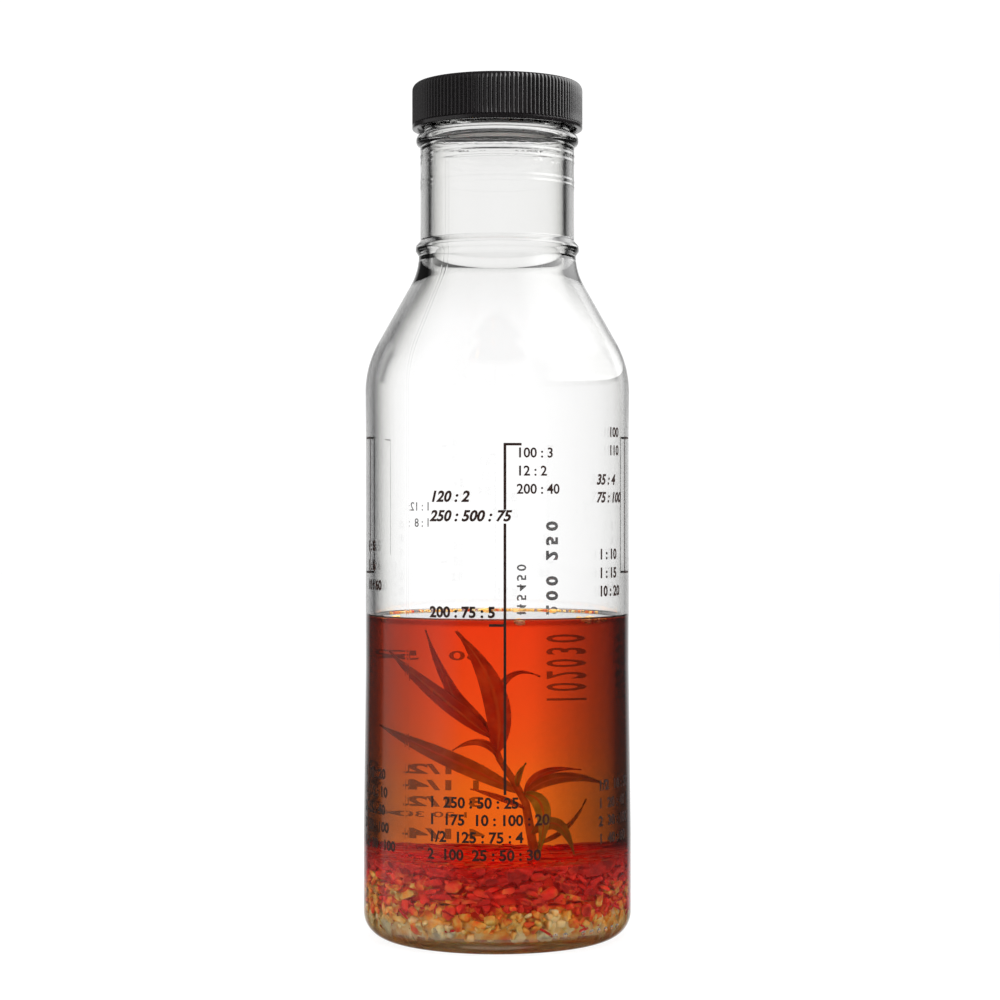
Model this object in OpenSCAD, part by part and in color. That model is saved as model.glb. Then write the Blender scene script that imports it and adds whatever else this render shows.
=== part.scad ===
// Dressing shaker bottle: a clear ring-neck glass bottle with a threaded finish,
// a ribbed black screw cap on a foam liner, and a dressing with chopped
// shallot, garlic and a herb sprig. Origin at the middle of the base, +Z up, millimetres.

/* [Glass body] */
// Height from the base to the sealing land of the mouth
bottle_h = 199.9; // [190:0.1:215]
// Diameter of the heel band, the widest place of the glass
heel_d = 63.5; // [62.8:0.1:66]
// Diameter of the recessed label panel
panel_d = 62.5; // [61:0.1:62.7]
// Diameter at the contact band under the shoulder
shoulder_d = 62.7; // [61:0.1:64]
// Radius of the rounded heel
heel_arc = 6; // [4:0.1:8]
// Height of the top of the heel band
heel_band_h = 25; // [14:0.5:40]
// Height where the label panel starts
panel_low = 64; // [50:0.5:80]
// Height where the label panel ends
panel_high = 120; // [100:0.5:124]
// Height where the shoulder starts to turn in
shoulder_z = 129; // [126:0.1:134]
// Radius of the shoulder's outward curve
shoulder_arc = 24; // [16:0.5:30]
// Radius of the inward curve under the neck
neck_arc = 15.6; // [8:0.2:20]
// Angle of the shoulder's straight part from the vertical
shoulder_slope = 29.5; // [26:0.5:34]

/* [Glass walls] */
// Wall where the body is narrowest
wall = 1.8; // [1.4:0.1:2.6]
// Height of the inner floor above the resting plane
floor_z = 3.5; // [3.2:0.1:6]
// How far the inner floor rises in its middle
floor_dome = 1.5; // [0.5:0.1:3]
// Radius between the inner floor and the wall
floor_arc = 4.5; // [3:0.5:7]
// Radius of the shoulder's outward curve on the inside
inner_shoulder_arc = 22; // [14:0.5:28]
// Radius of the inward curve under the neck on the inside
inner_neck_arc = 14; // [8:0.5:18]
// Width of the flat ring that the bottle rests on
rest_ring_w = 1.6; // [1:0.1:3]
// Depth of the push-up under the base
push_up = 2; // [1:0.1:3]

/* [Neck and ring] */
// Diameter of the neck above the ring
neck_d = 36.6; // [36:0.1:37.2]
// Diameter of the neck where the shoulder meets it
neck_root_d = 37.3; // [36.8:0.1:38]
// Inner diameter of the neck and mouth
bore_d = 31.2; // [28:0.1:32]
// Diameter of the ring on the neck
ring_d = 38.8; // [38.2:0.1:40]
// Height of the ring's middle above the base
ring_z = 163; // [161.5:0.1:166]
// Height of the ring at its root
ring_h = 3.4; // [2.4:0.1:4]
// Height of the ring's flat crest
ring_crest = 1.3; // [0.6:0.1:2]

/* [Threaded finish] */
// Diameter of the finish wall between the threads
finish_d = 34.8; // [34.5:0.1:35.1]
// Diameter over the thread's crest
thread_d = 37.2; // [36.9:0.1:37.4]
// Rise of the thread in one turn
pitch = 4.233; // [4:0.001:4.4]
// Length of the bottle's thread in turns
thread_turns = 1.25; // [1:0.05:1.3]
// Width of the thread at its root
thread_w = 2.4; // [1.8:0.1:2.5]
// Width of the thread at its crest
thread_crest_w = 0.9; // [0.5:0.1:1.2]
// Distance from the sealing land to the top of the thread
thread_drop = 1.2; // [1:0.1:1.4]
// Distance from the sealing land to the top of the transfer bead
bead_drop = 9.8; // [9.6:0.1:10.4]
// Diameter of the transfer bead
bead_d = 38.6; // [38:0.1:39.4]
// Height of the transfer bead
bead_h = 2.7; // [2:0.1:3.2]
// Radius on both edges of the sealing land
lip_round = 0.6; // [0.3:0.1:0.8]

/* [Mould code dots] */
// Number of places in the row of dots on the heel
dot_count = 9; // [0:1:12]
// Place in the row that holds no dot, counted from nought
dot_gap = 2; // [0:1:12]
// Diameter of a dot
dot_d = 1.2; // [0.8:0.1:1.4]
// Height of the row above the resting plane
dot_z = 4.6; // [3.6:0.1:7]
// Angle from one dot to the next
dot_step = 4.6; // [3:0.1:8]
// Direction of the first dot seen from above
dot_start = -65; // [-90:1:0]

/* [Cap] */
// Outer diameter over the ribs
cap_d = 40.5; // [40.3:0.1:42]
// Height of the cap
cap_h = 11; // [10:0.1:11.8]
// Thickness of the cap's top
cap_top = 1.5; // [1.2:0.1:2.2]
// Radius of the rounded top edge
cap_edge = 1.8; // [1:0.1:2.4]
// Number of grip ribs
rib_count = 120; // [60:1:120]
// Radius of the groove between two ribs
groove_r = 0.33; // [0.2:0.01:0.36]
// Height of the smooth rim band under the ribs
rim_band = 1.2; // [0.6:0.1:2]
// Chamfer round the cap's open rim
rim_chamfer = 0.3; // [0.2:0.05:0.5]
// Height of the cap's thread ridge at its root
cap_thread_w = 1.5; // [1:0.1:1.6]
// Height of the cap's thread ridge at its crest
cap_thread_crest_w = 0.6; // [0.4:0.1:0.8]
// Length of the cap's thread in turns
cap_thread_turns = 1.05; // [0.8:0.05:1.1]
// Thickness of the foam liner
liner_t = 1; // [0.8:0.1:1.2]
// How far the bead that holds the liner stands in
liner_bead = 0.5; // [0.3:0.05:0.6]

/* [Running clearances] */
// Radial play between the two threads
thread_play = 0.3; // [0.2:0.05:0.4]
// Play between the thread flanks of the closed cap
flank_play = 0.15; // [0.1:0.05:0.3]
// Radial play round the liner
liner_play = 0.15; // [0.1:0.05:0.3]
// Play between the liner and the bead that holds it
seat_play = 0.2; // [0.1:0.05:0.3]

/* [Contents] */
// Level of the dressing above the base
fill_z = 76; // [60:1:110]
// How far the dressing climbs at the wall
meniscus = 0.9; // [0.4:0.1:1.5]
// Height of the settled garlic above the base
garlic_z = 11.5; // [10.5:0.1:14]
// Height of the settled shallot above the base
shallot_z = 20; // [15:0.1:20.2]
// Film between the contents and the glass
film = 0.05; // [0.02:0.01:0.1]
// Radius of the sprig's stem at its foot
stem_r = 0.9; // [0.6:0.1:1.2]
// Thickness of a leaf at its midrib
leaf_t = 0.6; // [0.4:0.1:0.8]
// Length of a floating garlic chip
chip_l = 2.6; // [1.6:0.1:3]
// Thickness of a floating garlic chip
chip_t = 1.2; // [0.8:0.1:1.6]

/* [Hidden] */
$fn = 96;

heel_r = heel_d / 2;
panel_r = panel_d / 2;
shoulder_r = shoulder_d / 2;
neck_r = neck_d / 2;
neck_root_r = neck_root_d / 2;
bore_r = bore_d / 2;
ring_r = ring_d / 2;
finish_r = finish_d / 2;
thread_r = thread_d / 2;
bead_r = bead_d / 2;
cavity_r = min(panel_r, shoulder_r, heel_r) - wall;
bead_top = bottle_h - bead_drop;
bead_low = bead_top - bead_h;

// The middle of the bottle's thread ridge at its lower end
thread_z = bottle_h - thread_drop - thread_w / 2 - thread_turns * pitch;
// Half widths of the two ridges where the cap's crest runs, the tightest place
cap_root_r = thread_r + thread_play;
cap_crest_r = finish_r + thread_play;
thread_lean = (thread_w - thread_crest_w) / 2 / (thread_r - finish_r);
thread_half = thread_w / 2 - thread_lean * thread_play;
cap_thread_shift = thread_half + cap_thread_crest_w / 2 + flank_play;

cap_r = cap_d / 2;
cap_z = bottle_h + liner_t + cap_top - cap_h;
cap_roof = bottle_h + liner_t;
cap_peak = bottle_h + liner_t + cap_top;
// The first angle at which the cap's ridge lies fully inside its skirt
cap_thread_start = 360 * (cap_z + 0.4 + cap_thread_w / 2 - thread_z + cap_thread_shift) / pitch;

function arc(x, z, r, a0, a1, n) =
    [for (i = [0 : n]) let (a = a0 + (a1 - a0) * i / n) [x + r * cos(a), z + r * sin(a)]];

// Length of the straight flank that joins two curves of radius ra and rb over a step in radius
function flank(step, ra, rb) =
    (step - (ra + rb) * (1 - cos(shoulder_slope))) / sin(shoulder_slope);
function rise(step, ra, rb) =
    (ra + rb) * sin(shoulder_slope) + flank(step, ra, rb) * cos(shoulder_slope);

// A shoulder from radius r0 at height z0 to radius r1: outward curve, flank, inward curve
function shoulder(r0, z0, r1, ra, rb) =
    concat(arc(r0 - ra, z0, ra, 0, shoulder_slope, 8),
           arc(r1 + rb, z0 + rise(r0 - r1, ra, rb), rb, 180 + shoulder_slope, 180, 8));

// The inner floor, a low dome, from its middle out to radius r
function floor_line(r) =
    [for (i = [0 : 6]) let (x = r * i / 6) [x, floor_z + floor_dome * (1 + cos(180 * x / r)) / 2]];

// The floor and its corner with the wall, drawn in by a gap
function cavity_foot(gap) =
    concat([for (p = floor_line(cavity_r - floor_arc)) [p[0], p[1] + gap]],
           arc(cavity_r - floor_arc, floor_z + floor_arc, floor_arc - gap, -85, 0, 6));

// A skin over rings of points, each ring turned against the direction of travel
module skin(rings) {
    n = len(rings);
    m = len(rings[0]);
    points = [for (ring = rings) each ring];
    sides = [for (i = [0 : n - 2], j = [0 : m - 1])
        let (a = i * m + j, b = i * m + (j + 1) % m) each [[a, b, b + m], [a, b + m, a + m]]];
    foot = [for (k = [1 : m - 2]) [0, k + 1, k]];
    tip = [for (k = [1 : m - 2]) [(n - 1) * m, (n - 1) * m + k, (n - 1) * m + k + 1]];
    polyhedron(points = points, faces = concat(foot, sides, tip));
}

// A helical ridge: profile(s) gives its section at the share s of its full height
steps_per_turn = 36;
runout = 4;
function ridge_share(i, n) = max(0.2, min(1, (i + 1) / runout, (n - i + 1) / runout));
function at_angle(p, a, z) = [p[0] * cos(a), p[0] * sin(a), p[1] + z];

// Each ridge's flanks run on straight into the wall that carries it, by the depth of its root
root_sink = 0.5;
function ridge_foot(w, c, h) = w + root_sink * (w - c) / h;

function outer_ridge(s) =
    let (h = thread_r - finish_r, c = thread_crest_w / 2, foot = ridge_foot(thread_w / 2, c, h))
    [[finish_r - root_sink, -foot], [finish_r + h * s, -c], [finish_r + h * s, c],
     [finish_r - root_sink, foot]];
function inner_ridge(s) =
    let (h = cap_root_r - cap_crest_r, c = cap_thread_crest_w / 2, foot = ridge_foot(cap_thread_w / 2, c, h))
    [[cap_root_r - h * s, -c], [cap_root_r + root_sink, -foot], [cap_root_r + root_sink, foot],
     [cap_root_r - h * s, c]];

module bottle_thread() {
    n = round(thread_turns * steps_per_turn);
    skin([for (i = [0 : n]) let (a = 360 * i / steps_per_turn)
        [for (p = outer_ridge(ridge_share(i, n))) at_angle(p, a, thread_z + pitch * a / 360)]]);
}

module cap_thread() {
    n = round(cap_thread_turns * steps_per_turn);
    first = ceil(cap_thread_start * steps_per_turn / 360);
    skin([for (i = [0 : n]) let (a = 360 * (first + i) / steps_per_turn)
        [for (p = inner_ridge(ridge_share(i, n)))
            at_angle(p, a, thread_z - cap_thread_shift + pitch * a / 360)]]);
}

// The outside of the glass without its ring, bead and thread
module glass_outside() {
    rotate_extrude() polygon(concat(
        [[0, 0]],
        arc(heel_r - heel_arc, heel_arc, heel_arc, -90, 0, 10),
        [[heel_r, heel_band_h], [panel_r, panel_low], [panel_r, panel_high]],
        shoulder(shoulder_r, shoulder_z, neck_root_r, shoulder_arc, neck_arc),
        [[neck_root_r, ring_z], [neck_r, ring_z], [neck_r, bead_low + bead_h / 2],
         [finish_r, bead_low + bead_h / 2]],
        arc(finish_r - lip_round, bottle_h - lip_round, lip_round, 0, 90, 4),
        [[0, bottle_h]]));
}

// The space inside the glass, open at the mouth
module glass_inside() {
    inner_z = shoulder_z - 0.5;
    rotate_extrude() polygon(concat(
        cavity_foot(0),
        shoulder(cavity_r, inner_z, bore_r, inner_shoulder_arc, inner_neck_arc),
        arc(bore_r + lip_round, bottle_h - lip_round, lip_round, 180, 90, 4),
        [[bore_r + lip_round, bottle_h + 1], [0, bottle_h + 1]]));
}

module neck_ring() {
    rotate_extrude() polygon([
        [neck_r - 1, ring_z - ring_h / 2], [neck_root_r, ring_z - ring_h / 2],
        [ring_r, ring_z - ring_crest / 2], [ring_r, ring_z + ring_crest / 2],
        [neck_r, ring_z + ring_h / 2], [neck_r - 1, ring_z + ring_h / 2]]);
}

module transfer_bead() {
    round_r = bead_h * 0.42;
    rotate_extrude() polygon(concat(
        [[finish_r - 1, bead_low - 0.5], [neck_r, bead_low - 0.5]],
        arc(bead_r - round_r, bead_low + round_r, round_r, -70, 0, 4),
        arc(bead_r - round_r, bead_top - round_r, round_r, 0, 80, 4),
        [[finish_r, bead_top + 0.4], [finish_r - 1, bead_top + 0.4]]));
}

// The hollow under the base, inside the resting ring
module push_up_hollow() {
    r = heel_r - heel_arc - rest_ring_w;
    rotate_extrude() polygon(concat(
        [[0, -1], [r, -1]],
        [for (i = [6 : -1 : 0]) let (x = r * i / 6) [x, push_up * (1 + cos(180 * x / r)) / 2]]));
}

// Small raised dots in a row on the heel, with one place left out
module mould_dots() {
    sink = sqrt(pow(heel_arc, 2) - pow(heel_arc - min(dot_z, heel_arc), 2));
    r = heel_r - heel_arc + sink;
    for (i = [0 : dot_count - 1])
        if (i != dot_gap)
            rotate(dot_start + dot_step * i)
                translate([r - dot_d / 4, 0, dot_z])
                    sphere(d = dot_d, $fn = 24);
}

module glass_bottle() {
    color([0.86, 0.92, 0.9, 0.35])
        difference() {
            union() {
                glass_outside();
                neck_ring();
                transfer_bead();
                bottle_thread();
                mould_dots();
            }
            glass_inside();
            push_up_hollow();
        }
}

// The cap's outline with its grip ribs
module rib_outline() {
    difference() {
        circle(r = cap_r);
        for (i = [0 : rib_count - 1])
            rotate(360 * i / rib_count) translate([cap_r, 0]) circle(r = groove_r, $fn = 16);
    }
}

module cap_outside() {
    rotate_extrude() polygon(concat(
        [[0, cap_z], [cap_r - rim_chamfer, cap_z], [cap_r, cap_z + rim_chamfer]],
        arc(cap_r - cap_edge, cap_peak - cap_edge, cap_edge, 0, 90, 6),
        [[0, cap_peak]]));
}

module cap_hollow() {
    bead_z = bottle_h - seat_play;
    bead_in = cap_root_r - liner_bead;
    rotate_extrude() polygon([
        [0, cap_z - 1], [cap_root_r + rim_chamfer, cap_z - 1],
        [cap_root_r + rim_chamfer, cap_z], [cap_root_r, cap_z + rim_chamfer],
        [cap_root_r, bead_z - 2 * liner_bead], [bead_in, bead_z - liner_bead], [bead_in, bead_z],
        [cap_root_r, bead_z], [cap_root_r, cap_roof], [0, cap_roof]]);
}

module cap_shell() {
    color([0.09, 0.09, 0.1]) {
        difference() {
            union() {
                intersection() {
                    cap_outside();
                    translate([0, 0, cap_z + rim_band]) linear_extrude(cap_h) rib_outline();
                }
                intersection() {
                    cap_outside();
                    translate([0, 0, cap_z - 1]) cylinder(r = cap_r + 1, h = rim_band + 1);
                }
            }
            cap_hollow();
        }
        cap_thread();
    }
}

module cap_liner() {
    color([0.9, 0.9, 0.87])
        translate([0, 0, bottle_h]) cylinder(r = cap_root_r - liner_play, h = liner_t);
}

// Floating garlic chips: direction in degrees, distance from the wall in chip lengths, turn of the chip
chips = [[-80, 1.1, 20], [-44, 1.1, 70], [-37, 1.3, 10], [-30, 1.7, 50], [58, 1.3, 35], [80, 1.1, 5],
         [97, 1.1, 60], [118, 1.3, 15], [204, 1.5, 40]];
module chip_set() {
    for (c = chips)
        rotate(c[0]) translate([cavity_r - chip_l * c[1], 0, fill_z - chip_t / 4])
            rotate([8, 12, c[2]]) cube([chip_l, chip_l * 0.7, chip_t], center = true);
}

module floating_chips() {
    color([0.93, 0.83, 0.5]) chip_set();
}

// The sprig's points are chosen in a room of this radius and height, its foot on the settled
// shallot, and spread with the room that the dressing really gives it
sprig_room_r = 29.45;
sprig_room_h = 55.7;
foot_z = shallot_z + 0.3;
spread = cavity_r / sprig_room_r;
reach = (fill_z - foot_z) / sprig_room_h;
function placed(p) = [p[0] * spread, p[1] * spread, foot_z + p[2] * reach];

stem_line = [for (p = [[6.6, -6, 0], [5.8, -6, 5.7], [4.9, -6, 12.7], [2.6, -6, 18.2], [0.4, -6, 22.7],
                       [-0.8, -6, 27.2], [-1.6, -6, 31.2]]) placed(p)];
// Each leaf: where it leaves the stem, the point that it bends towards, its tip and its width
leaves = [
    [[-0.2, -6, 23.7], [2.5, -8, 38.7], [-7.4, -8, 52.7], 5.4],
    [[-1.2, -6, 28.7], [-8.5, -5, 35.7], [-12.3, -3, 52.7], 2.6],
    [[-1, -6, 27.7], [-10, -9, 37.7], [-22.6, -12, 48.2], 4.2],
    [[-1.3, -5, 29.7], [-8, -7, 33.7], [-9.5, -8, 43.7], 4.6],
    [[4.2, -6, 14.7], [-9, -2, 23.7], [-22.3, -4, 30.2], 4.4],
    [[0.2, -6, 23.1], [-2, -10, 29.7], [-8.5, -12, 25.2], 2],
    [[-1.5, -6, 30.2], [0.5, -3, 46.7], [7, -1, 41.7], 1.6],
    [[4.6, -6, 14.2], [10, -8, 21.7], [22.3, -11, 16.7], 3],
    [[4.8, -6, 13.7], [6, -4, 21.7], [14, -1, 19.7], 2.2],
    [[3.5, -6, 16.2], [3.4, -8, 19.7], [5.3, -9, 22.1], 1.4],
    [[4.4, -6, 14.7], [10.5, -10, 14.7], [7.6, -11, 1.2], 3.4],
    [[5.2, -6, 11.2], [0, -9, 14.7], [-5, -11, 16.3], 1.6],
    [[6.2, -6, 3.2], [12, -3, 3.7], [15, -1, 12.7], 1.4],
    [[5.9, -6, 5.2], [12, -12, 12.7], [15, -13, 1.2], 3.4]];

function unit(v) = v / norm(v);
// Place and heading on a leaf's midrib at the share t of its length
function midrib(l, t) =
    placed(l[0]) * pow(1 - t, 2) + placed(l[1]) * 2 * t * (1 - t) + placed(l[2]) * pow(t, 2);
function leaf_heading(l, t) =
    unit((placed(l[1]) - placed(l[0])) * (1 - t) + (placed(l[2]) - placed(l[1])) * t);
// Width of a leaf along its length: a short stalk, broadest past a third, then a long tip
function leaf_share(t) = max(0.12, pow(sin(180 * pow(t, 0.75)), 0.9));

leaf_rings = 9;
module leaf(l) {
    skin([for (i = [0 : leaf_rings - 1])
        let (t = i / (leaf_rings - 1),
             d = leaf_heading(l, t),
             side = unit(cross(d, [0, 1, 0])),
             up = cross(d, side),
             w = l[3] / 2 * reach * leaf_share(t),
             h = leaf_t / 2 * (1 - 0.5 * t),
             c = midrib(l, t))
        [c + side * w, c - up * h, c - side * w, c + up * h]]);
}

stem_sides = 8;
module stem() {
    n = len(stem_line);
    skin([for (i = [0 : n - 1])
        let (d = unit(stem_line[min(i + 1, n - 1)] - stem_line[max(i - 1, 0)]),
             side = unit(cross(d, [0, 1, 0])),
             up = cross(d, side),
             r = stem_r * (1 - 0.45 * i / (n - 1)))
        [for (k = [0 : stem_sides - 1]) let (a = -360 * k / stem_sides)
            stem_line[i] + side * r * cos(a) + up * r * sin(a)]]);
}

module sprig() {
    stem();
    for (l = leaves)
        leaf(l);
}

module herb_sprig() {
    color([0.42, 0.4, 0.12]) sprig();
}

// The dressing fills the glass from the settled shallot to its level, round the sprig and chips
module dressing() {
    r = cavity_r - film;
    color([0.85, 0.25, 0.08, 0.6])
        difference() {
            rotate_extrude() polygon(concat(
                [[0, shallot_z], [r, shallot_z]],
                [for (i = [0 : 5]) let (t = i / 5) [r - 2.5 * t, fill_z + meniscus * pow(1 - t, 2)]],
                [[0, fill_z]]));
            sprig();
            chip_set();
        }
}

module shallot_bits() {
    color([0.62, 0.1, 0.08])
        translate([0, 0, garlic_z]) cylinder(r = cavity_r - film, h = shallot_z - garlic_z);
}

module garlic_bits() {
    color([0.88, 0.72, 0.4])
        rotate_extrude() polygon(concat(
            cavity_foot(film), [[cavity_r - film, garlic_z], [0, garlic_z]]));
}

glass_bottle();
cap_shell();
cap_liner();
dressing();
shallot_bits();
garlic_bits();
floating_chips();
herb_sprig();
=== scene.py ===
# A clear glass dressing bottle with a ribbed screw cap, part filled with an oil dressing,
# a herb sprig and chopped bits. Everything is in metres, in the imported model's own frame.
import math
import random

import bmesh
import bpy
from mathutils import Matrix, Vector, noise


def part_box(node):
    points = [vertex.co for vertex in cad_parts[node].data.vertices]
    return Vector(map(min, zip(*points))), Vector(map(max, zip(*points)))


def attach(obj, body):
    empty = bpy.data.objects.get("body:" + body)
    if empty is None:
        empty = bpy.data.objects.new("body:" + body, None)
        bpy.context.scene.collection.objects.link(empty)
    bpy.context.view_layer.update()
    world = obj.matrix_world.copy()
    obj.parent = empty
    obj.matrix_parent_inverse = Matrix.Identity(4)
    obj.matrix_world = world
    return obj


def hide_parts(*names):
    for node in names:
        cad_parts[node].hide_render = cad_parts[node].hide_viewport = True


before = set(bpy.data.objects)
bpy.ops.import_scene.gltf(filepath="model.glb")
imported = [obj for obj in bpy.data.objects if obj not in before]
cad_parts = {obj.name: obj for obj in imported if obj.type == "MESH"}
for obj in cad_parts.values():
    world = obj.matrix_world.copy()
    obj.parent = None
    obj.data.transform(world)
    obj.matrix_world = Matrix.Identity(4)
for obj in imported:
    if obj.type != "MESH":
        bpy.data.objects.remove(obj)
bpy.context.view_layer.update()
mm = 0.001


# turns an sRGB hex colour into the linear values that a socket takes
def linearColour(hexText, alpha=1.0):
    parts = [int(hexText[i:i + 2], 16) / 255 for i in (1, 3, 5)]
    return [p / 12.92 if p <= 0.04045 else ((p + 0.055) / 1.055) ** 2.4 for p in parts] + [alpha]


# adds one node with its settings and the links into it; "stops" fills a colour ramp
def addNode(tree, kind, settings=None, links=None):
    node = tree.nodes.new(kind)
    for name, value in (settings or {}).items():
        if name == "stops":
            ramp = node.color_ramp
            while len(ramp.elements) < len(value):
                ramp.elements.new(0.5)
            for element, (place, hexText) in zip(ramp.elements, value):
                element.position = place
                element.color = linearColour(hexText)
        elif isinstance(name, str) and hasattr(node, name):
            setattr(node, name, value)
        else:
            node.inputs[name].default_value = value
    for name, source in (links or {}).items():
        tree.links.new(source, node.inputs[name])
    return node


# a new material with its Principled shader, the settings given to the shader's own sockets
def newMaterial(name, settings):
    material = bpy.data.materials.new(name)
    material.use_nodes = True
    tree = material.node_tree
    shader = tree.nodes["Principled BSDF"]
    for socket, value in settings.items():
        shader.inputs[socket].default_value = value
    return material, tree, shader


# makes an object from a bmesh, shades it, hangs it on its body and hides the model's parts it replaces
def makePiece(name, bm, material, body, replaces=None, sharpAngle=40):
    mesh = bpy.data.meshes.new(name)
    bm.to_mesh(mesh)
    bm.free()
    mesh.materials.append(material)
    mesh.shade_smooth()
    mesh.set_sharp_from_angle(angle=math.radians(sharpAngle))
    piece = bpy.data.objects.new(name, mesh)
    bpy.context.scene.collection.objects.link(piece)
    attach(piece, body)
    if replaces:
        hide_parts(*replaces)
    print("piece", name, len(mesh.polygons), "faces")
    return piece


# points of an arc in the plane of radius and height
def arcPoints(r, z, radius, fromAngle, toAngle, steps):
    points = []
    for i in range(steps + 1):
        a = math.radians(fromAngle + (toAngle - fromAngle) * i / steps)
        points.append((r + radius * math.cos(a), z + radius * math.sin(a)))
    return points


# extra points along straight stretches, so that no face is longer than a step
def refine(points, step):
    fine = [points[0]]
    for a, b in zip(points, points[1:]):
        cuts = max(1, math.ceil(math.dist(a, b) / step))
        fine += [(a[0] + (b[0] - a[0]) * k / cuts, a[1] + (b[1] - a[1]) * k / cuts) for k in range(1, cuts + 1)]
    return fine


# spins a profile of (radius, height) points in millimetres round the bottle's axis
def spinProfile(points, steps):
    bm = bmesh.new()
    verts = [bm.verts.new((r * mm, 0, z * mm)) for r, z in points]
    edges = [bm.edges.new(pair) for pair in zip(verts, verts[1:])]
    bmesh.ops.spin(bm, geom=verts + edges, cent=(0, 0, 0), axis=(0, 0, 1), dvec=(0, 0, 0),
                   angle=2 * math.pi, steps=steps, use_merge=True, use_normal_flip=False, use_duplicate=False)
    bmesh.ops.remove_doubles(bm, verts=bm.verts, dist=1e-6)
    bmesh.ops.recalc_face_normals(bm, faces=bm.faces)
    return bm


# Camera: level, straight on, at the height where the photographed bottle shows no tilt
camera = {"distance": 590, "side": 0.64, "height": 103.4, "lens": 89.2, "sensor": 36}
cameraData = bpy.data.cameras.new("camera")
cameraData.lens = camera["lens"]
cameraData.sensor_width = camera["sensor"]
cameraObject = bpy.data.objects.new("camera", cameraData)
cameraObject.location = (camera["side"] * mm, -camera["distance"] * mm, camera["height"] * mm)
cameraObject.rotation_euler = (math.radians(90), 0, 0)
bpy.context.scene.collection.objects.link(cameraObject)
bpy.context.scene.camera = cameraObject
bpy.context.scene.view_settings.view_transform = "Standard"
print("camera ready")

# Studio: white cove, seen as white in glass and gloss too, with plain soft light
studio = {"floorSize": 3.0, "floorWhite": 0.8, "worldDiffuse": 0.7, "keyThroughGlass": 3.4, "whiteBehind": 1.07}


# 1 where a ray comes from the camera, through glass or off gloss, and 0 for light on diffuse surfaces
def seenDirectly(tree):
    path = addNode(tree, "ShaderNodeLightPath")
    first = addNode(tree, "ShaderNodeMath", {"operation": "MAXIMUM"},
                    {0: path.outputs["Is Camera Ray"], 1: path.outputs["Is Transmission Ray"]})
    return path, first


# how bright gloss sees the room in the direction a ray travels: a bright back, dark sides and front,
# a faint wide panel on the left and a lamp high on the right
def roomInGloss(tree):
    ray = addNode(tree, "ShaderNodeNewGeometry")
    axes = addNode(tree, "ShaderNodeSeparateXYZ", {}, {"Vector": ray.outputs["Incoming"]})
    back = addNode(tree, "ShaderNodeMapRange", {"From Min": -0.84, "From Max": -1.0, "To Min": 0.06, "To Max": 1.0},
                   {"Value": axes.outputs["Y"]})
    panel = addNode(tree, "ShaderNodeMapRange", {"From Min": 0.45, "From Max": 0.8, "To Min": 0.0, "To Max": 0.4},
                    {"Value": axes.outputs["X"]})
    right = addNode(tree, "ShaderNodeMapRange", {"From Min": -0.3, "From Max": -0.8, "To Min": 0.0, "To Max": 3.6},
                    {"Value": axes.outputs["X"]})
    nearer = addNode(tree, "ShaderNodeMapRange", {"From Min": 0.75, "From Max": 0.4}, {"Value": axes.outputs["Y"]})
    above = addNode(tree, "ShaderNodeMapRange", {"From Min": -0.148, "From Max": -0.152}, {"Value": axes.outputs["Z"]})
    strip = addNode(tree, "ShaderNodeMath", {"operation": "MULTIPLY"}, {0: nearer.outputs["Result"], 1: above.outputs["Result"]})
    toSpot = addNode(tree, "ShaderNodeVectorMath", {"operation": "DOT_PRODUCT", 1: (-0.48, -0.36, -0.8)},
                     {0: ray.outputs["Incoming"]})
    spot = addNode(tree, "ShaderNodeMapRange", {"From Min": 0.965, "From Max": 0.985, "To Min": 0.0, "To Max": 2.5},
                   {"Value": toSpot.outputs["Value"]})
    ahead = addNode(tree, "ShaderNodeMapRange", {"From Min": -0.5, "From Max": -0.42}, {"Value": axes.outputs["Y"]})
    left = addNode(tree, "ShaderNodeMath", {"operation": "MULTIPLY"}, {0: panel.outputs["Result"], 1: ahead.outputs["Result"]})
    first = addNode(tree, "ShaderNodeMath", {"operation": "MULTIPLY_ADD"}, {
        0: right.outputs["Result"], 1: strip.outputs[0], 2: left.outputs[0]})
    lamp = addNode(tree, "ShaderNodeMath", {"operation": "ADD"}, {0: first.outputs[0], 1: spot.outputs["Result"]})
    return addNode(tree, "ShaderNodeMath", {"operation": "MAXIMUM"}, {0: back.outputs["Result"], 1: lamp.outputs[0]})


def makeWorld():
    world = bpy.data.worlds.new("studio")
    bpy.context.scene.world = world
    world.use_nodes = True
    tree = world.node_tree
    tree.nodes.clear()
    path, direct = seenDirectly(tree)
    depth = roomInGloss(tree)
    gloss = addNode(tree, "ShaderNodeBackground", {"Color": (1, 1, 1, 1)}, {"Strength": depth.outputs[0]})
    lit = addNode(tree, "ShaderNodeMath", {"operation": "MINIMUM", 1: 1.0}, {0: path.outputs["Diffuse Depth"]})
    soft = addNode(tree, "ShaderNodeBackground", {"Color": (1, 1, 1, 1), "Strength": studio["worldDiffuse"]})
    # lamps can't shine through clear glass here, so what lies in it gets their share from the room
    key = addNode(tree, "ShaderNodeMath", {"operation": "MULTIPLY_ADD", "use_clamp": False, 1: studio["keyThroughGlass"], 2: studio["whiteBehind"]},
                  {0: lit.outputs[0]})
    white = addNode(tree, "ShaderNodeBackground", {"Color": (1, 1, 1, 1)}, {"Strength": key.outputs[0]})
    indirect = addNode(tree, "ShaderNodeMixShader", {}, {0: path.outputs["Is Glossy Ray"], 1: soft.outputs[0], 2: gloss.outputs[0]})
    both = addNode(tree, "ShaderNodeMixShader", {}, {0: direct.outputs[0], 1: indirect.outputs[0], 2: white.outputs[0]})
    addNode(tree, "ShaderNodeOutputWorld", {}, {"Surface": both.outputs[0]})


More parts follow.
